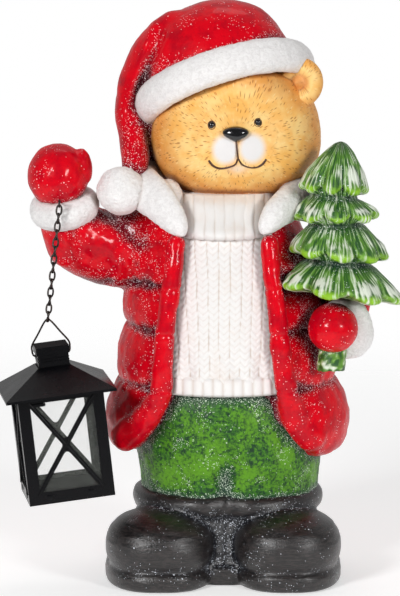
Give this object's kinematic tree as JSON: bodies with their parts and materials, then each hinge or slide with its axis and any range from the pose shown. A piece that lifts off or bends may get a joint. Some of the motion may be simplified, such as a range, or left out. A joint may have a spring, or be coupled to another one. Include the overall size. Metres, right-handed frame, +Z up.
{
  "type": "christmas bear figurine with hanging lantern",
  "caption": "Standing painted bear figurine in a hat, padded jacket and boots, holding a fir tree and a small metal lantern on a chain.",
  "frame": {"origin": "on the ground under the middle of the body, on the flat underside of the soles", "axes": "+Z up, the bear looks along -Y, +X to the viewer's right, towards the tree"},
  "size_m": [0.3506, 0.2182, 0.5019],
  "materials": {
    "bear_figure": "painted, satin varnish",
    "chain": "dark gunmetal wire",
    "lantern": "satin black",
    "glass": "clear"
  },
  "bodies": {
    "figure": {"bear_figure": "bear_figure", "hand_eye": "chain", "chain_link_01": "chain", "chain_link_02": "chain", "chain_link_03": "chain", "chain_link_04": "chain", "chain_link_05": "chain", "chain_link_06": "chain", "chain_link_07": "chain", "chain_link_08": "chain", "chain_link_09": "chain", "chain_link_10": "chain", "chain_link_11": "chain", "chain_link_12": "chain", "chain_link_13": "chain", "chain_link_14": "chain", "lantern_bail": "chain"},
    "lantern": {"lantern_frame": "lantern", "lantern_roof": "lantern", "lantern_chimney": "lantern", "lantern_glass_front": "glass", "lantern_glass_back": "glass", "lantern_glass_left": "glass", "lantern_glass_right": "glass"}
  },
  "joints": [
    {"name": "bail_swing", "type": "hinge", "parent": "figure", "child": "lantern", "pos_m": [-0.14788, -0.07149, 0.20294], "axis": [0.9825, 0.1504, 0.1097], "range_deg": [-36, 8]}
  ]
}
